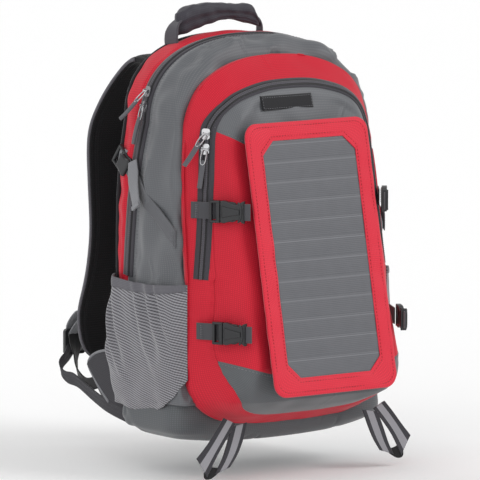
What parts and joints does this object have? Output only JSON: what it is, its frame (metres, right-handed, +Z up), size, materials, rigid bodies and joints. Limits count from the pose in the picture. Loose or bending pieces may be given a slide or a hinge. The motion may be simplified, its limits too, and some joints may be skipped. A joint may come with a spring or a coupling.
{
  "type": "solar backpack",
  "caption": "Arched daypack with a removable solar panel buckled over its front pocket, mesh side pockets, padded shoulder straps and hanging bottom loops.",
  "frame": {"origin": "centre of the back pad's face, where the pack rests on its wearer; the base is 240 mm below", "axes": "+Z up, +Y towards the wearer, the front of the pack faces -Y, +X across it to the wearer's right"},
  "size_m": [0.342, 0.3852, 0.546],
  "materials": {
    "red_fabric": "woven nylon ripstop, slight sheen",
    "grey_fabric": "coated woven nylon",
    "black_mesh_foam": "spacer mesh over foam",
    "grey_mesh": "elastic knitted mesh",
    "grey_binding": "elastic binding",
    "grey_cord": "woven pull tab",
    "nickel_metal": "nickel-plated zinc",
    "panel_sheet": "clear textured film over the cells",
    "silicon_cells": "dark silicon",
    "black_plastic": "moulded acetal",
    "battery_plastic": "moulded, fine texture",
    "cell_foil": "laminated foil",
    "frame_plastic": "extruded sheet",
    "black_lining": "lining cloth",
    "stripe_webbing": "webbing with a pale stripe",
    "zip_tape": "zip tape and nylon coil",
    "black_webbing": "flat webbing"
  },
  "bodies": {
    "pack": {"back_pad": "black_mesh_foam", "battery_sleeve": "grey_mesh", "blank_patch": "black_webbing", "bottom_panel": "grey_fabric", "compression_strap_left": "grey_fabric", "compression_strap_right": "grey_fabric", "frame_sheet": "frame_plastic", "front_gusset": "red_fabric", "front_shell": "grey_fabric", "front_zip_coil": "zip_tape", "front_zip_tape": "zip_tape", "laptop_sleeve": "black_lining", "main_zip_coil": "zip_tape", "main_zip_tape": "zip_tape", "mesh_pocket_left": "grey_mesh", "mesh_pocket_right": "grey_mesh", "pack_tabs": "black_webbing", "pocket_bands": "grey_binding", "pocket_face_panel": "red_fabric", "pocket_low_panel": "grey_fabric", "pocket_top_panel": "grey_fabric", "rear_shell": "red_fabric", "strap_anchor_left": "black_webbing", "strap_anchor_right": "black_webbing"},
    "solar_panel": {"panel_frame": "red_fabric", "cover_sheet": "panel_sheet", "solar_cells": "silicon_cells", "panel_backing": "black_lining", "junction_box": "black_plastic", "panel_tabs": "black_webbing", "buckle_socket_upper_left": "black_plastic", "buckle_socket_upper_right": "black_plastic", "buckle_socket_lower_left": "black_plastic", "buckle_socket_lower_right": "black_plastic"},
    "plug_upper_left": {"buckle_plug_upper_left": "black_plastic"},
    "plug_upper_right": {"buckle_plug_upper_right": "black_plastic"},
    "plug_lower_left": {"buckle_plug_lower_left": "black_plastic"},
    "plug_lower_right": {"buckle_plug_lower_right": "black_plastic"},
    "main_slider_upper": {"main_slider_upper": "nickel_metal"},
    "main_pull_upper": {"main_pull_upper": "grey_cord"},
    "main_slider_lower": {"main_slider_lower": "nickel_metal"},
    "main_pull_lower": {"main_pull_lower": "grey_cord"},
    "front_slider_upper": {"front_slider_upper": "nickel_metal"},
    "front_pull_upper": {"front_pull_upper": "grey_cord"},
    "front_slider_lower": {"front_slider_lower": "nickel_metal"},
    "front_pull_lower": {"front_pull_lower": "grey_cord"},
    "handle": {"handle_webbing": "black_webbing", "handle_sleeve": "black_webbing"},
    "strap_left": {"shoulder_strap_left": "black_mesh_foam"},
    "lock_left": {"ladder_lock_left": "black_plastic"},
    "loop_left": {"bottom_loop_left": "stripe_webbing"},
    "lever_left": {"lever_buckle_left": "black_plastic"},
    "strap_right": {"shoulder_strap_right": "black_mesh_foam"},
    "lock_right": {"ladder_lock_right": "black_plastic"},
    "loop_right": {"bottom_loop_right": "stripe_webbing"},
    "lever_right": {"lever_buckle_right": "black_plastic"},
    "battery": {"battery_case": "battery_plastic", "battery_cell": "cell_foil"},
    "battery_button": {"battery_button": "battery_plastic"}
  },
  "joints": [
    {"name": "panel_lift", "type": "slide", "parent": "pack", "child": "solar_panel", "axis": [0, -0.9799, 0.1994], "range_m": [0, 0.05]},
    {"name": "release_upper_left", "type": "slide", "parent": "solar_panel", "child": "plug_upper_left", "axis": [-0.5755, 0.8178, 0], "range_m": [0, 0.022]},
    {"name": "release_upper_right", "type": "slide", "parent": "solar_panel", "child": "plug_upper_right", "axis": [0.5755, 0.8178, 0], "range_m": [0, 0.022]},
    {"name": "release_lower_left", "type": "slide", "parent": "solar_panel", "child": "plug_lower_left", "axis": [-0.4537, 0.8912, 0], "range_m": [0, 0.022]},
    {"name": "release_lower_right", "type": "slide", "parent": "solar_panel", "child": "plug_lower_right", "axis": [0.4537, 0.8912, 0], "range_m": [0, 0.022]},
    {"name": "main_zip_upper", "type": "slide", "parent": "pack", "child": "main_slider_upper", "axis": [0.1996, -0.0859, 0.9761], "range_m": [0, 0.012]},
    {"name": "main_pull_upper_flip", "type": "hinge", "parent": "main_slider_upper", "child": "main_pull_upper", "pos_m": [-0.14326, -0.05945, 0.18276], "axis": [0.0172, 0.9963, 0.0842], "range_deg": [0, 60]},
    {"name": "main_zip_lower", "type": "slide", "parent": "pack", "child": "main_slider_lower", "axis": [0.1996, -0.0859, 0.9761], "range_m": [-0.03, 0]},
    {"name": "main_pull_lower_flip", "type": "hinge", "parent": "main_slider_lower", "child": "main_pull_lower", "pos_m": [-0.14694, -0.05787, 0.16476], "axis": [0.0172, 0.9963, 0.0842], "range_deg": [0, 70]},
    {"name": "front_zip_upper", "type": "slide", "parent": "pack", "child": "front_slider_upper", "axis": [0.0977, 0.0706, 0.9927], "range_m": [0, 0.006]},
    {"name": "front_pull_upper_flip", "type": "hinge", "parent": "front_slider_upper", "child": "front_pull_upper", "pos_m": [-0.12556, -0.15854, 0.13805], "axis": [-0.6706, 0.7417, 0.0133], "range_deg": [0, 60]},
    {"name": "front_zip_lower", "type": "slide", "parent": "pack", "child": "front_slider_lower", "axis": [0.0978, 0.0645, 0.9931], "range_m": [-0.045, 0]},
    {"name": "front_pull_lower_flip", "type": "hinge", "parent": "front_slider_lower", "child": "front_pull_lower", "pos_m": [-0.12749, -0.15972, 0.12002], "axis": [-0.6499, 0.7599, 0.0146], "range_deg": [0, 70]},
    {"name": "handle_fold", "type": "hinge", "parent": "pack", "child": "handle", "pos_m": [0, -0.024, 0.23903], "axis": [1, 0, 0], "range_deg": [-35, 35], "stiffness_Nm_per_rad": 0.08},
    {"name": "strap_left_swing", "type": "hinge", "parent": "pack", "child": "strap_left", "pos_m": [-0.075, -0.008, 0.219], "axis": [1, 0, 0], "range_deg": [0, 25]},
    {"name": "lock_left_tilt", "type": "hinge", "parent": "strap_left", "child": "lock_left", "pos_m": [-0.121, 0.1255, -0.131], "axis": [1, 0, 0], "range_deg": [-20, 20]},
    {"name": "loop_left_swing", "type": "hinge", "parent": "pack", "child": "loop_left", "pos_m": [-0.105, -0.192, -0.208], "axis": [1, 0, 0], "range_deg": [-35, 18]},
    {"name": "strap_right_swing", "type": "hinge", "parent": "pack", "child": "strap_right", "pos_m": [0.075, -0.008, 0.219], "axis": [1, 0, 0], "range_deg": [0, 25]},
    {"name": "lock_right_tilt", "type": "hinge", "parent": "strap_right", "child": "lock_right", "pos_m": [0.121, 0.1255, -0.131], "axis": [1, 0, 0], "range_deg": [-20, 20]},
    {"name": "loop_right_swing", "type": "hinge", "parent": "pack", "child": "loop_right", "pos_m": [0.105, -0.192, -0.208], "axis": [1, 0, 0], "range_deg": [-35, 18]},
    {"name": "lever_left_tilt", "type": "hinge", "parent": "pack", "child": "lever_left", "pos_m": [-0.15121, -0.01182, 0.10518], "axis": [-0.0569, 0.5838, -0.8099], "range_deg": [0, 25]},
    {"name": "lever_right_tilt", "type": "hinge", "parent": "pack", "child": "lever_right", "pos_m": [0.15121, -0.01182, 0.10518], "axis": [-0.0569, -0.5838, 0.8099], "range_deg": [0, 25]},
    {"name": "battery_slide", "type": "slide", "parent": "pack", "child": "battery", "axis": [0, 0, 1], "range_m": [0, 0.06]},
    {"name": "battery_press", "type": "slide", "parent": "battery", "child": "battery_button", "axis": [0, 1, 0], "range_m": [0, 0.0008], "stiffness_N_per_m": 250}
  ]
}
